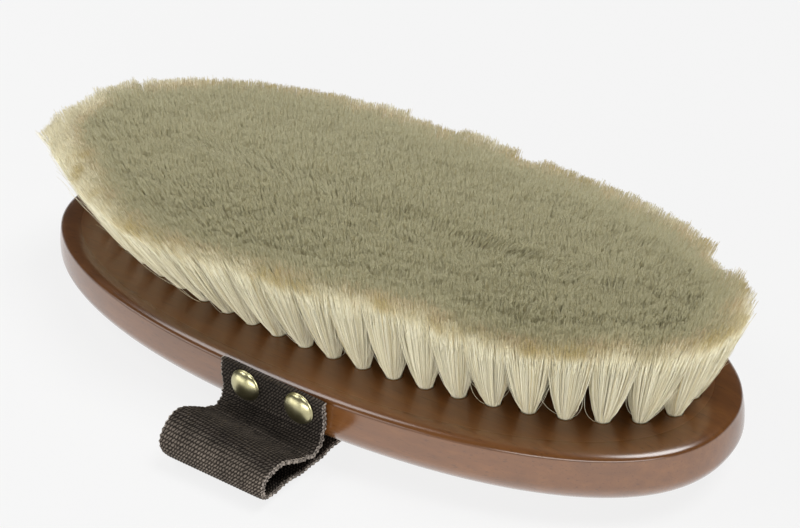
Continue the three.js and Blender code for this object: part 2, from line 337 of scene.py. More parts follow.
def hair_material():
    """Natural hair: ivory along its length and khaki at the cut tips, with tan tips round the
    rim and painted shade towards the roots. The strands' UV map holds each strand's own shade
    across and the way along it up."""
    n = Nodes("goat_hair")
    across, along = n.uv(STRAND_MAP)
    inner, rim, side = hair_lengthways(n, along)
    side = honey_patches(n, side, along)
    blotches = n.noise(n.stretched((140, 140, 140)), 1.0, 3.0)
    rim = n.mix(n.ramp(blotches, [(0.40, grey(0.25)), (0.60, grey(1))]), inner, rim)
    colour = n.mix(n.math("GREATER_THAN", across, 1 / 3), inner, rim)
    colour = n.mix(n.math("GREATER_THAN", across, 2 / 3), colour, side)
    strand = n.add("TexWhiteNoise", {"noise_dimensions": "1D"})
    n.plug(strand.inputs["W"], n.math("FLOOR", n.math("MULTIPLY", across, float(SHADES))))
    tone = n.ramp(strand.outputs["Value"], [
        (0.00, (0.74, 0.66, 0.49)),
        (0.08, (0.90, 0.87, 0.79)),
        (0.45, grey(1)),
        (1.00, grey(1.1)),
    ])
    n.set(Base_Color=n.mix(1.0, colour, tone, "MULTIPLY"), Roughness=0.55, Specular_IOR_Level=0.35)
    return n.material


def brass_material():
    """Pressed, brassed steel with fine handling marks."""
    n = Nodes("brass")
    cloud = n.noise(n.stretched((420, 420, 420)), 1.0, 4.0)
    marks = n.noise(n.stretched((3000, 900, 900)), 1.0, 3.0)
    n.set(Base_Color=n.ramp(cloud, [(0.3, (0.42, 0.39, 0.21)), (0.7, (0.58, 0.54, 0.33))]), Metallic=1.0)
    n.set(Roughness=n.math("MULTIPLY_ADD", marks, 0.08, 0.27))
    dents = n.noise(n.stretched((260, 260, 260)), 1.0, 0.0)
    n.set(Normal=n.bump(dents, 0.5, 0.25 * MM))
    return n.material


def webbing_material():
    """Dark brown webbing: floats of yarn with painted shade in the hollows between them, painted
    light that makes the front of the roll paler, and a pale looped thread at each selvedge."""
    n = Nodes("cotton_webbing")
    across, along = n.uv("weave")
    uneven = n.math("MULTIPLY", n.noise(n.stretched((420, 420, 420)), 1.0, 2.0), 1.5)
    slant = n.math("MULTIPLY_ADD", n.math("FRACT", along), -YARN_SLANT, n.math("ADD", across, uneven))
    place = n.math("MULTIPLY_ADD", n.math("FLOOR", along), ROW_SHIFT, slant)
    crown = n.math("ABSOLUTE", n.math("SINE", n.math("MULTIPLY", place, math.pi)))
    row = n.math("POWER", n.math("ABSOLUTE", n.math("SINE", n.math("MULTIPLY", along, math.pi))), 0.5)
    yarn_up = n.math("MULTIPLY", crown, row)
    fuzz = n.noise(n.stretched((2600, 2600, 2600)), 1.0, 3.0)
    patches = n.noise(n.stretched((170, 170, 170)), 1.0, 3.0)
    height = n.math("MULTIPLY_ADD", fuzz, 0.6, n.math("MULTIPLY", yarn_up, 0.6))
    # Painted shade: the hollows between the yarns are painted near-black and the crowns lighter, with the
    # fuzz adding a random tone
    yarn = n.ramp(height, [
        (0.28, (0.004, 0.003, 0.0025)),
        (0.60, (0.018, 0.0145, 0.0115)),
        (0.95, (0.072, 0.060, 0.049)),
    ])
    patches_and_painted_light = n.mix(1.0, yarn, n.ramp(patches, [(0.3, grey(0.75)), (0.7, grey(1.3))]), "MULTIPLY")
    # Painted light: towards -Y the front of the roll is painted 2.5 times paler, where light from the
    # floor and the front falls on it
    front = n.between(n.coordinate(1), *LIT_FRONT_Y)
    patches_and_painted_light = n.mix(front, patches_and_painted_light, n.mix(1.0, patches_and_painted_light, grey(2.5), "MULTIPLY"))
    from_middle = n.math("ABSOLUTE", n.math("SUBTRACT", across, YARNS_ACROSS / 2))
    edge = n.math("GREATER_THAN", from_middle, YARNS_ACROSS / 2 - 0.4)
    # The pale selvedge thread also has painted shade in its hollows
    pale = n.ramp(height, [(0.3, (0.05, 0.042, 0.036)), (0.8, (0.30, 0.26, 0.225))])
    n.set(Base_Color=n.mix(edge, patches_and_painted_light, pale), Roughness=0.9, Specular_IOR_Level=0.1)
    n.set(Normal=n.bump(height, 0.8, 0.2 * MM))
    return n.material


def floor_material():
    """A pale table that glows evenly, so that the brush casts only a faint shadow."""
    n = Nodes("pale_floor")
    n.set(Base_Color=grey(0.08), Roughness=0.7, Specular_IOR_Level=0.0)
    n.set(Emission_Color=grey(1), Emission_Strength=0.83)
    return n.material


# ---- board

def board_sections():
    """The board's section from its flat back to the bristle face: height, and how far the
    outline is drawn in at the ends and at the sides."""
    swell = np.array([WALL_SWELL_AT_ENDS, WALL_SWELL_AT_SIDES])
    sections = []
    for turn in np.linspace(math.pi / 2, 0, ROUND_OVER_STEPS + 1)[:-1]:
        inset = ROUND_OVER_WIDTH * (1 - math.cos(turn) ** ROUND_OVER_POWER) - swell
        fall = (WALL_WIDEST_Z - BOARD_UNDERSIDE_Z) * math.sin(turn) ** ROUND_OVER_POWER
        sections.append((WALL_WIDEST_Z - fall, *inset))
    top_of_wall = BOARD_FACE_Z - SHOULDER_DROP
    for rise in np.linspace(0, 1, WALL_STEPS + 1):
        inset = swell * (rise ** 2 - 1)
        sections.append((WALL_WIDEST_Z + (top_of_wall - WALL_WIDEST_Z) * rise, *inset))
    for turn in np.linspace(0, math.pi / 2, SHOULDER_STEPS + 1)[1:]:
        z = top_of_wall + SHOULDER_DROP * math.sin(turn)
        inward = 1 - math.cos(turn)
        sections.append((z, SHOULDER_WIDTH_AT_ENDS * inward, SHOULDER_WIDTH_AT_SIDES * inward))
    return sections


def hole_loops(centres):
    """The loops of every drilled hole: the bead's rim, its crest, the throat and the floor."""
    angles = np.arange(HOLE_POINTS) / HOLE_POINTS * TURN
    circle = np.stack([np.cos(angles), np.sin(angles)], axis=1)
    profile = [
        (HOLE_RADIUS + BEAD_WIDTH, 0),
        (HOLE_RADIUS + BEAD_CREST * BEAD_WIDTH, -BEAD_HEIGHT),
        (HOLE_RADIUS, HOLE_BEVEL),
        (HOLE_RADIUS, HOLE_DEPTH),
    ]
    loops = []
    for radius, depth in profile:
        flat = centres[:, None, :] + radius * circle[None]
        height = np.full(flat.shape[:2] + (1,), BOARD_FACE_Z - depth)
        loops.append(np.concatenate([flat, height], axis=2))
    return loops


def face_triangles(rim, holes):
    """Triangles of the bristle face between its rim and its round holes."""
    outline = [Vector(point) for point in np.concatenate([rim, holes.reshape(-1, 2)])]
    edges = []
    first = 0
    for count in [len(rim)] + [HOLE_POINTS] * len(holes):
        edges += [(first + i, first + (i + 1) % count) for i in range(count)]
        first += count
    triangles = np.array(delaunay_2d_cdt(outline, edges, [], 0, 1e-7)[2])
    centre = np.array(outline)[triangles].mean(axis=1)
    middles = holes.mean(axis=1)
    gap = np.linalg.norm(centre[:, None] - middles[None], axis=2).min(axis=1)
    return triangles[gap > HOLE_RADIUS + 0.9 * BEAD_WIDTH]


def shell_loops():
    """The board's outline at every section, from the back up to the rim of the face."""
    angles = np.arange(OUTLINE_POINTS) / OUTLINE_POINTS * TURN
    loops = []
    for z, at_ends, at_sides in board_sections():
        half_size = (BOARD_HALF_LENGTH - at_ends, BOARD_HALF_WIDTH - at_sides)
        flat = oval(*half_size, BOARD_SQUARENESS, angles)
        loops.append(np.column_stack([flat, np.full(OUTLINE_POINTS, z)]))
    return loops


def board_mesh():
    """The board as one closed skin: shell, bristle face, holes and back, with its slots."""
    shell = shell_loops()
    holes = hole_loops(np.concatenate([stem_feet(node) for node in OUTER_TUFTS + INNER_NODES]))
    count = len(holes[0])
    hole_points = count * HOLE_POINTS
    last_loop = (len(shell) - 1) * OUTLINE_POINTS
    first_rim = last_loop + OUTLINE_POINTS
    quads = [ring_faces(i * OUTLINE_POINTS, (i + 1) * OUTLINE_POINTS, OUTLINE_POINTS)
             for i in range(len(shell) - 1)]
    for upper in range(first_rim, first_rim + (len(holes) - 1) * hole_points, HOLE_POINTS):
        quads.append(ring_faces(upper + hole_points, upper, HOLE_POINTS)[:, ::-1])
    quads = np.concatenate(quads)
    face = face_triangles(shell[-1][:, :2], holes[0][:, :, :2])
    face = np.where(face < OUTLINE_POINTS, face + last_loop, face - OUTLINE_POINTS + first_rim)
    back = np.arange(OUTLINE_POINTS)[::-1]
    floors = first_rim + (len(holes) - 1) * hole_points + np.arange(hole_points)
    sizes = np.repeat([4, 3, OUTLINE_POINTS, HOLE_POINTS], [len(quads), len(face), 1, count])
    points = np.concatenate([loop.reshape(-1, 3) for loop in shell + holes])
    corners = np.concatenate([quads.ravel(), face.ravel(), back, floors])
    mesh = fast_mesh("wooden_board", points, corners, sizes)
    beads = 2 * hole_points
    slots = np.repeat(
        [WALL_SLOT, SHOULDER_SLOT, HOLE_SLOT, FACE_SLOT, WALL_SLOT, HOLE_SLOT],
        [last_loop - SHOULDER_STEPS * OUTLINE_POINTS, SHOULDER_STEPS * OUTLINE_POINTS + beads,
         hole_points, len(face), 1, count],
    )
    mesh.polygons.foreach_set("material_index", slots.astype(np.int32))
    mark_sharp(mesh, last_loop, first_rim, first_rim, first_rim + hole_points)
    return mesh


def make_board():
    """The wooden board, glossier on its side wall than on the bristle face, with the wall painted lighter
    and the shoulder darker as painted light and shade.
    """
    mesh = board_mesh()
    # Painted light and shade: the wall's wood is painted lighter and the shoulder's darker than the face's
    mesh.materials.append(wood_material("varnished_wall", 1.4, 0.15, 2.0))
    mesh.materials.append(wood_material("varnished_shoulder", 0.95, 0.19, 1.6))
    mesh.materials.append(wood_material("varnished_face", 1.15, 0.3, 1.5))
    # The holes' insides carry a painted shade
    mesh.materials.append(hole_shade_material())
    board = add_object("wooden_board", mesh)
    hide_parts("brush_board")
    return board


def mark_sharp(mesh, rim_start, rim_end, hole_start, hole_end):
    """Keep the flat face's shading apart from the shoulder's and from the holes' bevels."""
    ends = np.empty(len(mesh.edges) * 2, np.int32)
    mesh.edges.foreach_get("vertices", ends)
    ends = ends.reshape(-1, 2)
    step = np.abs(ends[:, 0] - ends[:, 1])
    on_rim = ((ends >= rim_start) & (ends < rim_end)).all(axis=1)
    on_hole = ((ends >= hole_start) & (ends < hole_end)).all(axis=1)
    along_rim = on_rim & ((step == 1) | (step == OUTLINE_POINTS - 1))
    along_hole = on_hole & ((step == 1) | (step == HOLE_POINTS - 1))
    mesh.edges.foreach_set("use_edge_sharp", along_rim | along_hole)


# ---- hair

# How far the hair leans past or short of the even oval: where (degrees round from +X), over how
# many degrees, and how much. The broad leans carry the inner tufts with them.
BROAD_LEANS = [
    (8, 10, -1.0 * MM),
    (120, 24, 3.0 * MM),
    (166, 12, 3.4 * MM),
    (193, 9, 2.2 * MM),
    (217, 12, -3.2 * MM),
    (251, 11, 2.8 * MM),
    (287, 16, -6.0 * MM),
    (326, 15, -4.6 * MM),
]
LOCAL_LEANS = [
    (31, 8, -5.4 * MM),
    (82, 2.4, -3.8 * MM),
    (88, 3.5, 2.4 * MM),
    (94, 2, -2 * MM),
    (102, 3, 1.8 * MM),
    (148, 3.5, -2.0 * MM),
    (350, 7, -3.0 * MM),
]
# Where the outer tufts splay so far that their pale sides show on the cut face
PALE_END = [(152, 14, 0.25), (192, 20, 0.9), (226, 16, 0.4)]
# How much of the broad leans each further ring loses
LEAN_LOSS = 0.25

# The strands' UV map, under the name of the exporter's own bake map, so that the bake uses it as
# it is. It has a column for each shade of hair. A strand reaches so far across its column, either
# side of the middle, and a third of the columns is for each class of strand
STRAND_MAP = "OFBake"
SHADES = 384
COLUMN_REACH = 0.4

# Strands in a tuft, and pieces that the outer tufts and each inner ring are shared among
OUTER_STRANDS = 1300
INNER_STRANDS = 900
OUTER_PIECES = 12
RING_PIECES = 3
ROOT_RADIUS = 1.7 * MM
ROOT_DEPTH = 2.5 * MM
PATCH_HALF_OUT = 5.4 * MM
PATCH_HALF_ALONG = 5.0 * MM
WIDER_AT_ENDS = 0.35
ROW_HALF_OUT = 5.6 * MM
ROW_OVERLAP = 0.4 * MM
# Hairs in a lock, and how much shorter one lock may be cut than the next
LOCK_SIZE = 7
LOCK_STEP = 0.7 * MM
# The strands of a tuft: crowding as sunflower() takes it, scatter at the tips, thickest radius
OUTER_CROWDING, INNER_CROWDING = 0.43, 0.5
OUTER_SCATTER, INNER_SCATTER = 0.25 * MM, 0.4 * MM
OUTER_THICKEST, INNER_THICKEST, THINNEST = 0.085 * MM, 0.078 * MM, 0.05 * MM
STRAND_BOW = 0.13 * MM
TIP_CURL = 0.45 * MM
# The clipped face: its unevenness as (height, wave length, seed), how far the corners of each
# tuft and the rim fall away, and the spread of single hairs below it and (a few) above it
FACE_WAVES = [(0.30 * MM, 17 * MM, 5), (0.22 * MM, 4.5 * MM, 9)]
CORNER_FALL = 0.4 * MM
RIM_DROOP, PALE_DROOP = 1.2, 1.8
SHORT_SPREAD = 0.34 * MM
LONG_SHARE = 0.02
LONGEST = (0.2, 0.8)
# The way up a strand: its foot, the board's face, the cone above it, and the cut tip. At those
# heights, how far it has spread within its tuft and leant with it
OUTER_STEPS = np.array([0.0, 0.09, 0.25, 0.45, 0.72, 1.0])
INNER_STEPS = np.array([0.0, 0.9, 1.0])
OUTER_SPREAD = np.array([0.0, 0.02, 0.34, 0.61, 0.87, 1.0])
OUTER_LEAN = np.array([0.0, 0.0, 0.17, 0.39, 0.68, 1.0])
# How far the outer tufts stand straight out of their holes, rather than evenly round the rim
SIDEWAYS_HOLD = 0.6
STRAY_STEPS = np.linspace(0, 1, 17)
STRAY_BOW = 2.9 * MM
STRAY_RADIUS = 0.042 * MM
# Classes of strand by how far out in its tuft it stands: rim, and pale side
RIM_FROM = 0.05
SIDE_FROM = 0.55


def lean(leans, angles):
    """The sum of the given leans at some angles round the oval."""
    degrees = np.degrees(angles) % 360
    total = np.zeros_like(degrees)
    for middle, width, amount in leans:
        away = np.abs((degrees - middle + 180) % 360 - 180)
        total += amount * np.exp(-((away / width) ** 2))
    return total


def travelled(half_length, half_width, squareness):
    """Angles round an oval, and the share of the way round reached at each of them."""
    angles = np.linspace(0, TURN, 2881)
    points = oval(half_length, half_width, squareness, angles)
    steps = np.linalg.norm(np.diff(points, axis=0), axis=1)
    share = np.concatenate([[0], np.cumsum(steps)])
    return angles, share / share[-1]


def ring_tufts(ring, feet):
    """For each tuft of a ring: the middle of its cut tips, the way outward there, half the
    patch's size outward and round the ring, how far its outer edge is drawn out, and how much
    of its pale side shows."""
    root_size = (OUTER_RING_HALF_LENGTH - RING_STEP * ring, OUTER_RING_HALF_WIDTH - RING_STEP * ring)
    inset = TIP_RING_STEP * (ring + 0.5)
    tip_size = (TIP_HALF_LENGTH - inset, TIP_HALF_WIDTH - inset)
    turn = np.arctan2(feet[:, 1] / root_size[1], feet[:, 0] / root_size[0]) % TURN
    share = np.interp(turn, *travelled(*root_size, 2))
    angles, shares = travelled(*tip_size, TIP_SQUARENESS)
    if ring == 0:
        nearest = np.linalg.norm(feet[:, None] - oval(*tip_size, TIP_SQUARENESS, angles)[None], axis=2)
        straight_up = shares[nearest.argmin(axis=1)]
        share = (share + SIDEWAYS_HOLD * ((straight_up - share + 0.5) % 1 - 0.5)) % 1
    turn = np.interp(share, shares, angles)

    middle = oval(*tip_size, TIP_SQUARENESS, turn)
    ahead = oval(*tip_size, TIP_SQUARENESS, turn + 0.01) - oval(*tip_size, TIP_SQUARENESS, turn - 0.01)
    ahead /= np.linalg.norm(ahead, axis=1)[:, None]
    outward = np.stack([ahead[:, 1], -ahead[:, 0]], axis=1)
    middle = middle + outward * ((1 - LEAN_LOSS * ring) * lean(BROAD_LEANS, turn))[:, None]
    half_out = np.full(len(feet), PATCH_HALF_OUT)
    half_along = PATCH_HALF_ALONG * (1 + WIDER_AT_ENDS * np.abs(np.cos(turn)) ** 8)
    drawn = lean(LOCAL_LEANS, turn) if ring == 0 else np.zeros(len(feet))
    pale = lean(PALE_END, turn) if ring == 0 else np.zeros(len(feet))
    return list(zip(middle, outward, half_out, half_along, drawn, pale))


def row_tufts(feet):
    """The same for the row along the middle, spread to fill the innermost ring."""
    reach = TIP_HALF_LENGTH - 4 * TIP_RING_STEP
    spread = reach / (np.abs(feet[:, 0]).max() + RING_STEP / 2)
    middle = feet * np.array([spread, 1])
    half_along = reach / len(feet) + ROW_OVERLAP
    return [(spot, np.array([0.0, 1.0]), ROW_HALF_OUT, half_along, 0.0, 0.0) for spot in middle]


def square_from_disc(a, b):
    """Spread points of the unit disc over the square, so that a tuft fills its patch."""
    radius = np.hypot(a, b)
    reach = np.maximum(np.abs(a), np.abs(b))
    grow = np.where(reach > 1e-9, radius / np.maximum(reach, 1e-9), 1)
    return a * grow, b * grow


def smooth_noise(points, scale, seed):
    """A sum of six slanting waves over the plane, between -2 and 2."""
    rng = np.random.default_rng(seed)
    total = np.zeros(len(points))
    for _ in range(6):
        angle = rng.uniform(0, TURN)
        wave = np.array([math.cos(angle), math.sin(angle)]) / scale * rng.uniform(0.6, 1.6)
        total += np.sin(points @ wave * TURN + rng.uniform(0, TURN))
    return total / 3


def sunflower(rng, count, crowding):
    """Points of the unit disc, each a little off its place: even for a crowding of 0.5, and
    closer together towards the rim below that."""
    order = np.arange(count)
    radius = ((order + rng.uniform(0, 1, count)) / count) ** crowding
    angle = order * GOLDEN_ANGLE + rng.normal(0, 0.06, count)
    return radius * np.cos(angle), radius * np.sin(angle)


def gather_in_locks(rng, spots):
    """Draw hairs that stand close together closer still, and say how short each lock is cut."""
    locks = rng.choice(len(spots), len(spots) // LOCK_SIZE, replace=False)
    apart = np.linalg.norm(spots[:, None] - spots[locks][None], axis=2)
    nearest = apart.argmin(axis=1)
    pull = rng.uniform(0.2, 0.65, len(spots))[:, None]
    cut = rng.uniform(0, LOCK_STEP, len(locks))[nearest]
    return spots + (spots[locks][nearest] - spots) * pull, cut


def trimmed_height(rng, ends, dome):
    """How high each strand reaches: the clipped face with its slight unevenness."""
    count = len(ends)
    face = sum(height * smooth_noise(ends, wave, seed) for height, wave, seed in FACE_WAVES)
    short = np.abs(rng.normal(0, SHORT_SPREAD, count))
    long = np.where(rng.uniform(0, 1, count) < LONG_SHARE, rng.uniform(*LONGEST, count) * MM, 0)
    return HAIR_TOP_Z + face - short + long - dome


def tuft_strands(rng, foot, patch, count, edge):
    """Centre lines (count, rows, 3) of one tuft's strands, with how far out each one stands.
    The edge is 1 for an outer tuft, whose rim droops, and 0 for an inner one."""
    tip, outward, half_out, half_along, drawn, pale = patch
    frame_axes = np.array([outward, [-outward[1], outward[0]]])
    a, b = sunflower(rng, count, OUTER_CROWDING if edge else INNER_CROWDING)
    wide_a, wide_b = square_from_disc(a, b)
    spot = np.stack([wide_a * half_out + drawn * (wide_a + 1) / 2, wide_b * half_along], axis=1)
    spot += rng.normal(0, OUTER_SCATTER if edge else INNER_SCATTER, (count, 2))
    locked, cut = gather_in_locks(rng, spot)
    reach = np.maximum(np.abs(wide_a), np.abs(wide_b))
    droop = edge * np.clip(a, 0, 1) ** (3 - pale) * (RIM_DROOP + PALE_DROOP * pale) * MM
    dome = CORNER_FALL * reach ** 3 + droop + cut
    top = trimmed_height(rng, tip + locked @ frame_axes, dome)
    bottom = BOARD_FACE_Z - ROOT_DEPTH

    steps = OUTER_STEPS if edge else INNER_STEPS
    spread = np.interp(steps, OUTER_STEPS, OUTER_SPREAD)[None, :, None]
    leaning = np.interp(steps, OUTER_STEPS, OUTER_LEAN)[None, :, None]
    low = ROOT_RADIUS * np.stack([a, b], axis=1)[:, None]
    high = spot[:, None] + (locked - spot)[:, None] * (steps ** 6)[None, :, None]
    swing = np.sin(steps * math.pi)[None, :, None]
    bow = rng.normal(0, STRAND_BOW, (count, 1, 2)) * swing * steps[None, :, None]
    curl = rng.normal(0, TIP_CURL, (count, 1, 2)) * (steps == 1)[None, :, None]
    local = low + (high - low) * spread + bow + curl
    flat = foot + (tip - foot) * leaning + local @ frame_axes
    rise = bottom + (top - bottom)[:, None] * steps
    return np.concatenate([flat, rise[:, :, None]], axis=2), a + 1.2 * pale


def stray_lines(rng, foot, patch):
    """Centre lines of the few loose hairs that bow out between one tuft and the next."""
    tip, outward, half_out, half_along = patch[:4]
    frame_axes = np.array([outward, [-outward[1], outward[0]]])
    count = rng.integers(3, 12)
    above = np.clip((STRAY_STEPS - OUTER_STEPS[1]) / (1 - OUTER_STEPS[1]), 0, 1)[None, :, None]
    low = rng.uniform(-0.7, 0.7, (count, 1, 2)) * ROOT_RADIUS
    high = rng.uniform([0.2, -1.5], [0.9, 1.5], (count, 1, 2)) * np.array([half_out, half_along])
    bow = rng.uniform([-0.3, 0.15], [0.6, 1.0], (count, 1, 2)) * STRAY_BOW
    bow[:, :, 1] *= np.sign(high[:, :, 1])
    local = low + (high - low) * above + bow * np.sin(math.pi * above ** 0.65)
    flat = foot + (tip - foot) * above + local @ frame_axes
    bottom = BOARD_FACE_Z - ROOT_DEPTH
    top = bottom + (HAIR_TOP_Z - bottom) * rng.uniform(0.6, 0.93, count)
    rise = bottom + (top - bottom)[:, None] * STRAY_STEPS
    return np.concatenate([flat, rise[:, :, None]], axis=2)


def make_strays(tufts, material):
    """One piece of all the loose hairs, in the shades of the pale side."""
    rng = np.random.default_rng(97)
    lines = np.concatenate([stray_lines(rng, foot, patch) for foot, patch in tufts])
    shade = rng.uniform(0.68, 0.99, len(lines))
    mesh = strand_mesh("stray_hair", lines, STRAY_STEPS, np.full(len(lines), STRAY_RADIUS), shade)
    mesh.materials.append(material)
    piece = add_object("stray_hair", mesh)
    return piece


def strand_points(lines, steps, thickness):
    """Three points round each row of every centre line: (count, rows, 3 corners, 3)."""
    count, rows = lines.shape[:2]
    taper = np.interp(steps, [0, 0.6, 1], [1.0, 1.0, 0.6])
    forward = np.gradient(lines, axis=1)
    forward /= np.linalg.norm(forward, axis=2)[:, :, None]
    spin = np.random.default_rng(len(lines)).uniform(0, TURN, count)
    side = np.cross(forward, np.array([0.3, 0.9, 0.1]))
    side /= np.linalg.norm(side, axis=2)[:, :, None]
    other = np.cross(forward, side)
    points = np.empty((count, rows, 3, 3))
    for corner in range(3):
        turn = (spin + corner * TURN / 3)[:, None, None]
        reach = (thickness[:, None] * taper[None])[:, :, None]
        points[:, :, corner] = lines + reach * (np.cos(turn) * side + np.sin(turn) * other)
    return points


def strand_faces(count, rows):
    """The corners of all the strands' quads and then of their end caps, and the face sizes."""
    quads = np.concatenate([ring_faces(3 * row, 3 * row + 3, 3) for row in range(rows - 1)])
    caps = np.array([[2, 1, 0], [rows * 3 - 3, rows * 3 - 2, rows * 3 - 1]])
    base = np.arange(count)[:, None, None] * rows * 3
    corners = np.concatenate([(base + quads).ravel(), (base + caps).ravel()])
    return corners, np.repeat([4, 3], [count * len(quads), count * 2])


def strand_mesh(name, lines, steps, thickness, across):
    """Three-sided tapering strands round centre lines, with their shade and length as UVs. Each
    strand's three corners share its column of the map out among them, so that a bake finds it."""
    count, rows = lines.shape[:2]
    corners, sizes = strand_faces(count, rows)
    mesh = fast_mesh(name, strand_points(lines, steps, thickness).reshape(-1, 3), corners, sizes)
    up = steps[(corners % (rows * 3)) // 3]
    column = np.floor(across[corners // (rows * 3)] * SHADES) + 0.5
    aside = COLUMN_REACH * (corners % 3 - 1)
    set_uv(mesh, STRAND_MAP, (column + aside) / SHADES, 0.005 + 0.99 * up)
    return mesh


def make_hair_piece(name, tufts, material, seed, count, edge):
    """One piece of hair from tufts given as (foot, patch of tips), with so many strands each.
    Across the UV map lie three classes of strand: inner, rim and pale side."""
    rng = np.random.default_rng(seed)
    grown = [tuft_strands(rng, foot, patch, count, edge) for foot, patch in tufts]
    lines = np.concatenate([strands for strands, _ in grown])
    outness = np.concatenate([out for _, out in grown])
    count = len(lines)
    outness = edge * (outness + rng.normal(0, 0.2, count))
    shade = rng.uniform(0.01, 0.32, count) + (outness > RIM_FROM) / 3 + (outness > SIDE_FROM) / 3
    thickness = rng.uniform(THINNEST, OUTER_THICKEST if edge else INNER_THICKEST, count)
    steps = OUTER_STEPS if edge else INNER_STEPS
    mesh = strand_mesh(name, lines, steps, thickness, shade)
    mesh.materials.append(material)
    piece = add_object(name, mesh)
    return piece


def make_hair():
    """The hair: outer tufts in groups, the loose hairs, and the inner rings and middle row."""
    material = hair_material()
    feet = np.concatenate([stem_feet(node) for node in OUTER_TUFTS])
    patches = ring_tufts(0, feet)
    for number, group in enumerate(np.array_split(np.arange(len(feet)), OUTER_PIECES), 1):
        tufts = [(feet[i], patches[i]) for i in group]
        piece = make_hair_piece(f"outer_hair_{number}", tufts, material, 40 + number, OUTER_STRANDS, 1)
        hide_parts(*[OUTER_TUFTS[i] for i in group])
    make_strays(list(zip(feet, patches)), material)
    for ring, node in enumerate(INNER_NODES, 1):
        feet = stem_feet(node)
        in_row = node == "centre_tuft_row"
        patches = row_tufts(feet) if in_row else ring_tufts(ring, feet)
        parts = 1 if in_row else RING_PIECES
        for part, group in enumerate(np.array_split(np.arange(len(feet)), parts), 1):
            tufts = [(feet[i], patches[i]) for i in group]
            name = f"{node}_hair_{part}"
            piece = make_hair_piece(name, tufts, material, 10 * ring + part, INNER_STRANDS, 0)
            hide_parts(node)


# ---- strap

STRAP_THICKNESS = 1.5 * MM
STRAP_MIDDLE_X = 5.4 * MM
FLAP_Y = -47.2 * MM
LOW = 0.9 * MM
FLOOR_GAP = 0.02 * MM
# The weave: rows of short slanting yarns. Under the board it is left smooth and coarse
YARNS_ACROSS = 36
SAMPLES_PER_YARN = 3
ROW_LENGTH = 0.98 * MM
YARN_RELIEF = 0.18 * MM
YARN_SLANT = 0.6
ROW_SHIFT = 0.14
UNDER_BOARD = 38 * MM
COARSENING = 4
# The selvedges: drawn in from the full width, wandering and looped
SELVEDGE_INSET = 0.3 * MM
SELVEDGE_WANDER = 0.22 * MM
SELVEDGE_LOOP = 1.5 * MM
LOOP_HEIGHT = 0.17 * MM

# How the loose end lies askew, at points along the path: where (across the brush, height), how
# much the left selvedge stands up and the right one hangs down, how far the strap is lifted,
# how far it has moved along the brush, and how far the left selvedge lies inwards
ASKEW = [
    (FLAP_Y, 20.3 * MM, 0.6 * MM, 0, 0, 0),
    (FLAP_Y, 12 * MM, 0.2 * MM, 0, -0.4 * MM, 0),
    (-51.2 * MM, 6.85 * MM, 0.9 * MM, 0, -1.2 * MM, 0),
    (-61.6 * MM, 11.5 * MM, 1.5 * MM, 0, -1.9 * MM, 0),
    (-68 * MM, 7.6 * MM, 0.6 * MM, 0, -2.3 * MM, -0.3 * MM),
    (-60.8 * MM, LOW, -0.8 * MM, 0.8 * MM, -3.2 * MM, 0),
    (-48 * MM, LOW, 0, 0, -3.9 * MM, 0),
    (-30 * MM, LOW, 0, 0, -3.9 * MM, 0),
    (30 * MM, LOW, 0, 0, 0, 0),
]

# Creases across the strap below the flap: where they lie (across the brush, height)
CREASES = [(-47.3 * MM, 11.2 * MM), (-49.2 * MM, 7.6 * MM), (-52.6 * MM, 7.1 * MM)]
CREASE_DEPTH = 0.45 * MM
CREASE_WIDTH = 0.75 * MM


def bezier(start, control_a, control_b, end, steps=40):
    """Points along a cubic curve."""
    t = np.linspace(0, 1, steps)[:, None]
    start, control_a, control_b, end = (np.array(p) for p in (start, control_a, control_b, end))
    near = (1 - t) ** 3 * start + 3 * (1 - t) ** 2 * t * control_a
    return near + 3 * (1 - t) * t ** 2 * control_b + t ** 3 * end


def strap_path():
    """The strap's centre line as (across the brush, height), the CAD strap's own route: down
    the far wall, under the back, out into the loose roll and up to the near wall."""
    far = BOARD_HIGH[1] + 0.3 * MM + STRAP_THICKNESS / 2
    top = STRAP_HIGH[2]
    mm = np.array([MM, MM])
    pieces = [
        np.array([[far, top], [far, 13 * MM]]),
        bezier((far, 13 * MM), (far, 5 * MM), (43 * MM, LOW), (32 * MM, LOW)),
        np.array([[32 * MM, LOW], [-60.8 * MM, LOW]]),
        bezier((-60.8 * MM, LOW), (-65.8 * MM, LOW), mm * (-69, 4), mm * (-68, 7.6)),
        bezier(mm * (-68, 7.6), mm * (-67.1, 10.9), mm * (-64.4, 11.9), mm * (-61.6, 11.5)),
        bezier(mm * (-61.6, 11.5), mm * (-57.6, 10.9), mm * (-54.5, 7.1), mm * (-51.2, 6.85)),
        bezier(mm * (-51.2, 6.85), mm * (-49, 6.65), (FLAP_Y, 8.4 * MM), (FLAP_Y, 11 * MM)),
        np.array([[FLAP_Y, 11 * MM], [FLAP_Y, 20.3 * MM]]),
    ]
    path = np.concatenate([pieces[0]] + [piece[1:] for piece in pieces[1:]])
    length = np.concatenate([[0], np.cumsum(np.linalg.norm(np.diff(path, axis=0), axis=1))])
    return path, length


def askew(s, path, length):
    """The loose end's tilt, lift, shift and inward lie at distances along the strap."""
    fine = np.linspace(0, length[-1], 2000)
    line = np.stack([np.interp(fine, length, path[:, 0]), np.interp(fine, length, path[:, 1])], axis=1)
    where = [fine[np.linalg.norm(line - spot[:2], axis=1).argmin()] for spot in ASKEW]
    order = np.argsort(where)
    amounts = np.array(ASKEW)[order, 2:]
    return [np.interp(s, np.array(where)[order], column)[:, None] for column in amounts.T]


def crease_relief(s, path, length):
    """How far the webbing is pressed in along the creases where the flap turns into the roll."""
    depth = np.zeros_like(s)
    for spot in CREASES:
        place = length[np.linalg.norm(path - spot, axis=1).argmin()]
        depth += CREASE_DEPTH * np.exp(-(((s - place) / CREASE_WIDTH) ** 2))
    return depth


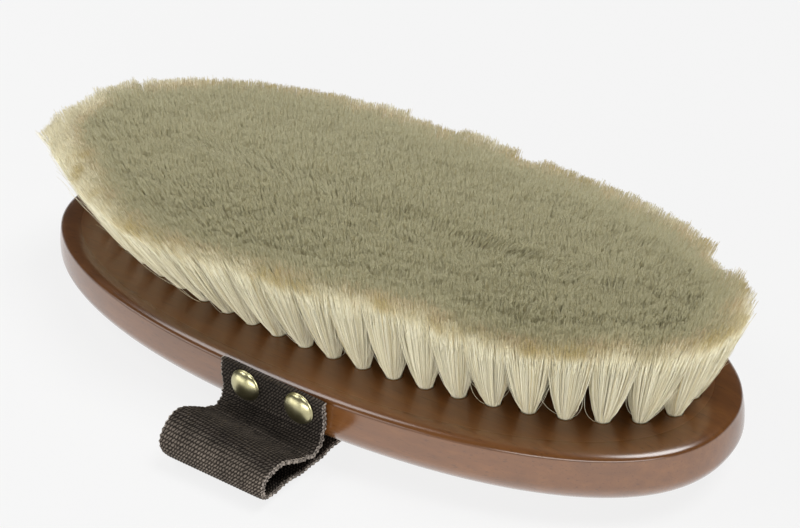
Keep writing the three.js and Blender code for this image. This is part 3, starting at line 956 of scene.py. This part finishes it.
def weave_relief(s, columns):
    """How far the surface stands proud at each point: rows of short slanting yarns."""
    row = s[:, None] / ROW_LENGTH
    yarn = np.arange(columns + 1)[None] / SAMPLES_PER_YARN
    place = yarn - YARN_SLANT * (row % 1) + ROW_SHIFT * np.floor(row)
    return YARN_RELIEF * np.abs(np.sin(math.pi * place)) * np.abs(np.sin(math.pi * row)) ** 0.5


def strap_rows(path, length):
    """Distances along the strap where it has a row of points, and which lie under the board."""
    step = ROW_LENGTH / SAMPLES_PER_YARN
    s = np.linspace(0, length[-1], int(length[-1] / step) + 1)
    covered = np.abs(np.interp(s, length, path[:, 0])) < UNDER_BOARD
    kept = ~covered | (np.arange(len(s)) % COARSENING == 0)
    return s[kept], covered[kept]


def softened(values):
    """The values with their small steps smoothed away, all but the two at either end."""
    weights = np.array([1, 4, 6, 4, 1]) / 16
    return np.concatenate([values[:2], np.convolve(values, weights, "valid"), values[-2:]])


def selvedge_x(s, w, half_width):
    """How far each point lies from the strap's middle line, along the brush."""
    drift = np.sin(s / (4.5 * MM) + 2) + 0.7 * np.sin(s / (1.3 * MM) + w)
    wander = SELVEDGE_WANDER * drift * w ** 6
    loops = np.sin(s / SELVEDGE_LOOP * TURN + 0.8 * np.sin(s / (3.1 * MM)))
    scallop = LOOP_HEIGHT * loops * (np.abs(w) > 0.95)
    return w * (half_width - SELVEDGE_INSET) + (wander + scallop) * np.sign(w)


def strap_surfaces(path, length, s, covered, w, half_width):
    """The strap's outer and inner surfaces as grids of points, rows by columns."""
    y = softened(np.interp(s, length, path[:, 0]))
    z = softened(np.interp(s, length, path[:, 1]))
    dy, dz = np.gradient(y), np.gradient(z)
    size = np.hypot(dy, dz)
    out_y, out_z = (dz / size)[:, None], (-dy / size)[:, None]
    relief = weave_relief(s, w.shape[1] - 1) * ~covered[:, None]
    pressed = crease_relief(s, path, length)[:, None]
    tilt, lift, shift, inward = askew(s, path, length)
    x = STRAP_MIDDLE_X + selvedge_x(s[:, None], w, half_width) + shift
    thin = STRAP_THICKNESS / 2 * (1 - 0.45 * np.abs(w) ** 24) - YARN_RELIEF / 2
    surfaces = []
    for stand in (thin + relief - pressed, -(thin + relief + pressed)):
        surface_y = y[:, None] + out_y * stand - w * inward
        surface_z = z[:, None] + out_z * stand + lift - w * tilt
        surfaces.append(np.stack([x, surface_y, np.maximum(surface_z, FLOOR_GAP)], axis=2))
    return surfaces


def make_strap():
    """The webbing strap, built as a closed two-sided sheet."""
    path, length = strap_path()
    s, covered = strap_rows(path, length)
    w = np.linspace(-1, 1, YARNS_ACROSS * SAMPLES_PER_YARN + 1)[None]
    half_width = (STRAP_HIGH[0] - STRAP_LOW[0]) / 2
    surfaces = strap_surfaces(path, length, s, covered, w, half_width)
    mesh = two_sided_sheet("webbing_strap", surfaces, w[0], s)
    mesh.materials.append(webbing_material())
    strap = add_object("webbing_strap", mesh)
    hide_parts("hand_strap")
    return strap


def two_sided_sheet(name, surfaces, w, s):
    """A closed sheet from its outer and inner surfaces, with UVs in yarns across and along."""
    rows, columns = surfaces[0].shape[:2]
    index = np.arange(rows * columns).reshape(rows, columns)
    other = index + rows * columns

    def grid(block):
        corners = [block[:-1, :-1], block[1:, :-1], block[1:, 1:], block[:-1, 1:]]
        return np.stack(corners, axis=2).reshape(-1, 4)

    def strip(a, b):
        return np.stack([a[:-1], a[1:], b[1:], b[:-1]], axis=1)

    quads = np.concatenate([
        grid(index)[:, ::-1], grid(other),
        strip(index[:, 0], other[:, 0])[:, ::-1], strip(index[:, -1], other[:, -1]),
        strip(index[0], other[0]), strip(index[-1], other[-1])[:, ::-1],
    ]).ravel()
    points = np.concatenate([surface.reshape(-1, 3) for surface in surfaces])
    mesh = fast_mesh(name, points, quads, np.full(len(quads) // 4, 4))
    row, column = np.divmod(quads % (rows * columns), columns)
    set_uv(mesh, "weave", (w[column] + 1) / 2 * YARNS_ACROSS, s[row] / ROW_LENGTH)
    return mesh


# ---- nails

NAIL_HEAD_RADIUS = 4.25 * MM
NAIL_HEAD_RIM = 0.45 * MM
NAIL_DOME = 2.0 * MM
NAIL_HEAD_REACH = 3.3 * MM
NAIL_SHANK_RADIUS = 0.8 * MM
NAIL_POINT_LENGTH = 1.8 * MM
NAIL_TIP_RADIUS = 0.05 * MM
NAIL_POINTS = 64
# The hollow under the head, and the shallow step pressed into the dome
NAIL_HOLLOW = 0.4 * MM
NAIL_STEP = 0.05 * MM
NAIL_STEP_RADIUS = 0.62 * NAIL_HEAD_RADIUS
NAIL_STEP_WIDTH = 0.5 * MM


def nail_profile(tip, under):
    """Radius and depth from the shank's point round the rolled rim to the dome's crown."""
    rim = NAIL_HEAD_RIM / 2
    profile = [
        (NAIL_TIP_RADIUS, tip),
        (NAIL_SHANK_RADIUS, tip + NAIL_POINT_LENGTH),
        (NAIL_SHANK_RADIUS, under + 0.75 * NAIL_HOLLOW),
        (NAIL_HEAD_RADIUS - 3 * rim, under + NAIL_HOLLOW),
    ]
    for turn in np.linspace(-0.6 * math.pi, 0.35 * math.pi, 9):
        profile.append((NAIL_HEAD_RADIUS - rim + rim * math.cos(turn), under + rim + rim * math.sin(turn)))
    base = under + 1.7 * rim
    for turn in np.linspace(0.10, math.pi / 2 - 0.02, 22):
        radius = (NAIL_HEAD_RADIUS - 0.7 * rim) * math.cos(turn)
        step = NAIL_STEP * math.tanh((radius - NAIL_STEP_RADIUS) / NAIL_STEP_WIDTH)
        profile.append((radius, base + NAIL_DOME * math.sin(turn) - step))
    return profile


def nail_mesh(node, middle_x, middle_z, side, profile):
    """A nail turned about an axis across the brush, its head on the side of -Y or +Y."""
    angles = np.arange(NAIL_POINTS) / NAIL_POINTS * TURN
    loops = []
    for radius, depth in profile:
        x = middle_x + radius * np.cos(angles)
        z = middle_z + radius * np.sin(angles)
        loops.append(np.stack([x, np.full(NAIL_POINTS, side * depth), z], axis=1))
    count = len(loops)
    quads = np.concatenate([
        ring_faces(i * NAIL_POINTS, (i + 1) * NAIL_POINTS, NAIL_POINTS) for i in range(count - 1)
    ])
    here = np.arange(NAIL_POINTS)
    ends = np.concatenate([here[::-1], (count - 1) * NAIL_POINTS + here])
    if side > 0:
        quads, ends = quads[:, ::-1], ends[::-1]
    sizes = np.repeat([4, NAIL_POINTS], [len(quads), 2])
    return fast_mesh(node, np.concatenate(loops), np.concatenate([quads.ravel(), ends]), sizes)


def make_nail(node, material):
    """A domed nail in the place of a CAD nail: a cap with a rolled rim, on a round shank."""
    low, high = (np.array(corner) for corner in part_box(node))
    side = -1 if low[1] + high[1] < 0 else 1
    middle_x, middle_z = (low[0] + high[0]) / 2, (low[2] + high[2]) / 2
    tip = min(abs(low[1]), abs(high[1]))
    under = max(abs(low[1]), abs(high[1])) - NAIL_HEAD_REACH
    mesh = nail_mesh(node, middle_x, middle_z, side, nail_profile(tip, under))
    mesh.materials.append(material)
    piece = add_object(node.replace("nail", "brass_nail"), mesh)
    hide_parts(node)
    return piece


# ---- stage

CAMERA_AZIMUTH = 36.6
CAMERA_ELEVATION = 31.55
CAMERA_ROLL = -1.24
CAMERA_DISTANCE = 448.3 * MM
CAMERA_AIM = Vector((-2.15 * MM, 14.97 * MM, 18.6 * MM))
CAMERA_LENS = 75.6
CAMERA_SENSOR = 36
FLOOR_REACH = 4

# The round ceiling light: the way to it, the cosines of its soft edge, and radiances
CEILING_WAY = (0.32, 0.16, 0.93)
CEILING_EDGE = 0.956
CEILING_CORE = 0.985
CEILING_RADIANCE = 12.6
ROOM_RADIANCE = 0.07


def make_camera():
    """A long lens that looks down on the -Y side of the brush from its +X end."""
    azimuth, elevation = math.radians(CAMERA_AZIMUTH), math.radians(CAMERA_ELEVATION)
    back = Vector((
        math.sin(azimuth) * math.cos(elevation),
        -math.cos(azimuth) * math.cos(elevation),
        math.sin(elevation),
    ))
    right = Vector((math.cos(azimuth), math.sin(azimuth), 0))
    up = back.cross(right)
    turn = Matrix((right, up, back)).transposed().to_4x4()
    turn @= Matrix.Rotation(math.radians(CAMERA_ROLL), 4, "Z")
    data = bpy.data.cameras.new("camera")
    data.lens = CAMERA_LENS
    data.sensor_width = CAMERA_SENSOR
    data.clip_start = 0.01
    camera = bpy.data.objects.new("camera", data)
    camera.matrix_world = Matrix.Translation(CAMERA_AIM + back * CAMERA_DISTANCE) @ turn
    bpy.context.scene.collection.objects.link(camera)
    bpy.context.scene.camera = camera


def area_light(name, direction, distance, size, radiance, along=(1, 0, 0)):
    """A soft box that faces the middle of the brush from a direction."""
    data = bpy.data.lights.new(name, "AREA")
    data.shape = "RECTANGLE"
    data.size, data.size_y = size
    data.energy = radiance * math.pi * size[0] * size[1]
    light = bpy.data.objects.new(name, data)
    back = Vector(direction).normalized()
    side = (Vector(along) - back * Vector(along).dot(back)).normalized()
    turn = Matrix((side, back.cross(side), back)).transposed().to_4x4()
    middle = Vector((0, 0, 20 * MM))
    light.matrix_world = Matrix.Translation(middle + back * distance) @ turn
    bpy.context.scene.collection.objects.link(light)
    return light


def make_world():
    """A dim room with one bright round ceiling light high above the brush."""
    world = bpy.data.worlds.new("studio")
    world.use_nodes = True
    nodes, links = world.node_tree.nodes, world.node_tree.links
    place = nodes.new("ShaderNodeTexCoord")
    towards = nodes.new("ShaderNodeVectorMath")
    towards.operation = "DOT_PRODUCT"
    towards.inputs[1].default_value = Vector(CEILING_WAY).normalized()
    spread = nodes.new("ShaderNodeMapRange")
    spread.interpolation_type = "SMOOTHSTEP"
    background = nodes["Background"]
    limits = (CEILING_EDGE, CEILING_CORE, ROOM_RADIANCE, CEILING_RADIANCE)
    for socket, value in zip(list(spread.inputs)[1:5], limits):
        socket.default_value = value
    links.new(place.outputs["Generated"], towards.inputs[0])
    links.new(towards.outputs["Value"], spread.inputs[0])
    links.new(spread.outputs[0], background.inputs[1])
    background.inputs[0].default_value = grey(1)
    bpy.context.scene.world = world


def make_stage():
    """The floor, the room's light and three soft boxes."""
    corners = [(-1, -1, 0), (1, -1, 0), (1, 1, 0), (-1, 1, 0)]
    floor = fast_mesh("floor", FLOOR_REACH * np.array(corners), [0, 1, 2, 3], [4])
    floor.materials.append(floor_material())
    floor_object = bpy.data.objects.new("floor", floor)
    bpy.context.scene.collection.objects.link(floor_object)
    bpy.context.scene.view_settings.view_transform = "Standard"
    make_world()
    area_light("strip_box", (-0.50, -0.30, 0.78), 0.9, (0.5, 0.3), 5.5, along=(0.4, -0.25, 0.1))
    area_light("right_box", (0.62, -0.75, 0.18), 1.2, (1.4, 0.45), 5.8)
    area_light("left_box", (-0.55, -0.8, 0.13), 1.2, (1.2, 0.32), 3.0)


make_camera()
make_stage()
make_board()
make_hair()
make_strap()
brass = brass_material()
for nail_node in ("near_nail_left", "near_nail_right", "far_nail_left", "far_nail_right"):
    make_nail(nail_node, brass)
